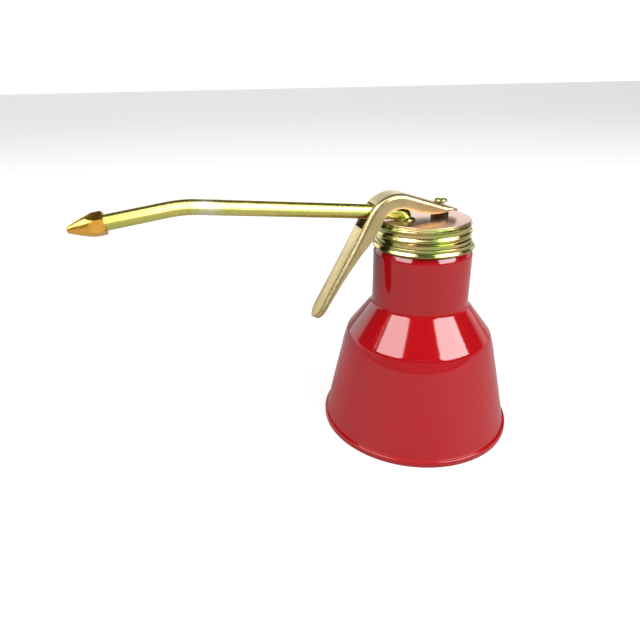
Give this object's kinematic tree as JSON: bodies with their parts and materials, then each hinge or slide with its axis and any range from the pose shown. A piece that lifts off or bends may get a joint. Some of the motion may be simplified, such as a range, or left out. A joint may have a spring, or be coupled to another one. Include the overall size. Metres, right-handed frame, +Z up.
{
  "type": "oil can",
  "caption": "Lever oil can: red enamelled steel can, screw cap with a bent spout and brass nozzle, and a lever over the spout that lifts a pump rod.",
  "frame": {"origin": "centre of the foot, on the surface that the can stands on", "axes": "+Z up along the can's axis, the spout points along -X, the lever swings in the XZ plane"},
  "size_m": [0.1872, 0.088, 0.1144],
  "materials": {
    "red_enamel": "glossy baked enamel",
    "yellow_zinc": "yellow chromated zinc plating",
    "golden_lever": "satin yellow chromated zinc plating",
    "turned_brass": "turned brass",
    "bright_steel": "ground steel",
    "zinc_steel": "zinc plated steel",
    "black_rubber": "nitrile rubber",
    "cup_leather": "oiled leather"
  },
  "bodies": {
    "can": {"can_body": "red_enamel", "bottom_plate": "red_enamel", "neck_collar": "yellow_zinc"},
    "seal": {"cap_gasket": "black_rubber"},
    "head": {"cap": "yellow_zinc", "spout_elbow": "yellow_zinc", "spout_tube": "yellow_zinc", "spout_ring": "yellow_zinc", "nozzle": "turned_brass", "gland_nut": "turned_brass", "gland_packing": "black_rubber", "barrel_head": "turned_brass", "pump_barrel": "zinc_steel", "foot_valve": "turned_brass", "ball_stop_pin": "bright_steel", "dip_tube": "zinc_steel", "strainer": "turned_brass", "outlet_block": "turned_brass", "outlet_spring": "bright_steel", "return_spring": "bright_steel"},
    "lever": {"lever": "golden_lever"},
    "plunger": {"plunger_rod": "bright_steel", "rod_head": "yellow_zinc", "piston_top_washer": "turned_brass", "piston_cup": "cup_leather", "piston_bottom_washer": "turned_brass", "piston_nut": "turned_brass"},
    "inlet_ball": {"inlet_ball": "bright_steel"},
    "outlet_ball": {"outlet_ball": "bright_steel"}
  },
  "joints": [
    {"name": "cap_rise", "type": "slide", "parent": "can", "child": "seal", "axis": [0, 0, 1], "range_m": [0, 0.0076]},
    {"name": "cap_turn", "type": "hinge", "parent": "seal", "child": "head", "pos_m": [0, 0, 0.0902], "axis": [0, 0, 1], "range_deg": [0, 720]},
    {"name": "lever_pull", "type": "hinge", "parent": "head", "child": "lever", "pos_m": [-0.024, 0, 0.10666], "axis": [0, -1, 0], "range_deg": [0, 18], "stiffness_Nm_per_rad": 0.6, "springref_deg": -11.46},
    {"name": "plunger_lift", "type": "slide", "parent": "head", "child": "plunger", "axis": [0, 0, 1], "range_m": [0, 0.0092], "deforming": ["return_spring"]},
    {"name": "inlet_ball_lift", "type": "slide", "parent": "head", "child": "inlet_ball", "axis": [0, 0, 1], "range_m": [0, 0.001]},
    {"name": "outlet_ball_lift", "type": "slide", "parent": "head", "child": "outlet_ball", "axis": [0, 0, 1], "range_m": [0, 0.001], "stiffness_N_per_m": 30, "springref_m": -0.001, "deforming": ["outlet_spring"]}
  ],
  "couplings": [
    {"joint": "cap_rise", "follows": "cap_turn", "m_per_rad": 0.00060479},
    {"joint": "plunger_lift", "follows": "lever_pull", "m_per_rad": 0.0292}
  ]
}
